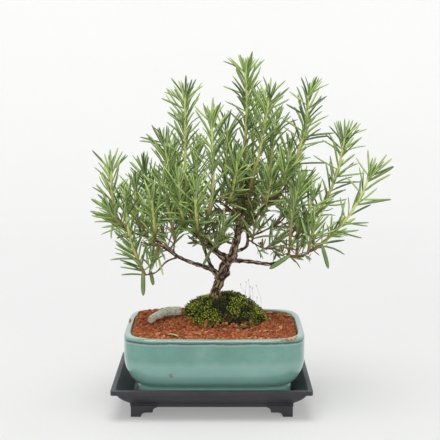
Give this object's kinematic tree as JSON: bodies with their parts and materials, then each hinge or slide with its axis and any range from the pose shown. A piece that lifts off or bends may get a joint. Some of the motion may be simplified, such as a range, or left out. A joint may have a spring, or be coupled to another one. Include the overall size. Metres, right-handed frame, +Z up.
{
  "type": "potted rosemary plant",
  "caption": "Small rosemary trained as a bonsai: leaning woody trunk and needle-leaved shoots, in a shallow glazed pot with red gravel and moss, standing in a footed drip tray.",
  "frame": {"origin": "bottom centre of the whole plant's box, on the surface that the tray stands on", "axes": "+Z up, +X to the right and +Y to the back, seen from the front of the pot, which is its long side"},
  "size_m": [0.34, 0.181, 0.4075],
  "materials": {
    "tray_plastic": "satin moulded plastic",
    "glaze": "glossy celadon glaze, brown where it thins at the lip",
    "screen_plastic": "matte",
    "soil": "rough, moist",
    "lava_gravel": "rough porous grit",
    "moss": "soft and deep, with lighter tips",
    "grey_stone": "rough",
    "bark": "rough, furrowed",
    "rosemary_leaf": "satin leaf, pale below"
  },
  "bodies": {
    "root": {"drip_tray": "tray_plastic", "pot": "glaze", "drain_screen_left": "screen_plastic", "drain_screen_right": "screen_plastic", "soil": "soil", "gravel": "lava_gravel", "moss": "moss", "stone": "grey_stone", "trunk_and_branches": "bark", "shoot_far_left": "rosemary_leaf", "shoot_drooping_left": "rosemary_leaf", "shoot_broad_left": "rosemary_leaf", "shoot_slant_left": "rosemary_leaf", "shoot_thin_left": "rosemary_leaf", "shoot_upper_left": "rosemary_leaf", "shoot_low_shoot": "rosemary_leaf", "shoot_low_front": "rosemary_leaf", "shoot_outer_left": "rosemary_leaf", "shoot_outer_left_back": "rosemary_leaf", "shoot_left_back": "rosemary_leaf", "shoot_tall_left": "rosemary_leaf", "shoot_tall_middle": "rosemary_leaf", "shoot_behind_left": "rosemary_leaf", "shoot_behind_middle": "rosemary_leaf", "shoot_tallest": "rosemary_leaf", "shoot_front_right": "rosemary_leaf", "shoot_behind_right": "rosemary_leaf", "shoot_right_tall": "rosemary_leaf", "shoot_gap_right": "rosemary_leaf", "shoot_inner_right": "rosemary_leaf", "shoot_right_second": "rosemary_leaf", "shoot_upright_low": "rosemary_leaf", "shoot_between_right": "rosemary_leaf", "shoot_far_right": "rosemary_leaf", "shoot_right_front": "rosemary_leaf", "shoot_right_inner": "rosemary_leaf", "shoot_small_right": "rosemary_leaf", "shoot_small_middle": "rosemary_leaf", "shoot_back_right_up": "rosemary_leaf", "shoot_small_left": "rosemary_leaf", "shoot_front_left": "rosemary_leaf", "shoot_front_middle": "rosemary_leaf", "shoot_front_right_low": "rosemary_leaf", "shoot_front_right_mid": "rosemary_leaf", "shoot_left_front": "rosemary_leaf", "shoot_mid_left_front": "rosemary_leaf", "shoot_rear_left": "rosemary_leaf", "shoot_rear_far_left": "rosemary_leaf", "shoot_rear_middle": "rosemary_leaf", "shoot_rear_right": "rosemary_leaf", "shoot_rear_top": "rosemary_leaf", "shoot_rear_far_right": "rosemary_leaf", "shoot_rear_low_left": "rosemary_leaf", "shoot_rear_upper_left": "rosemary_leaf"}
  },
  "joints": []
}
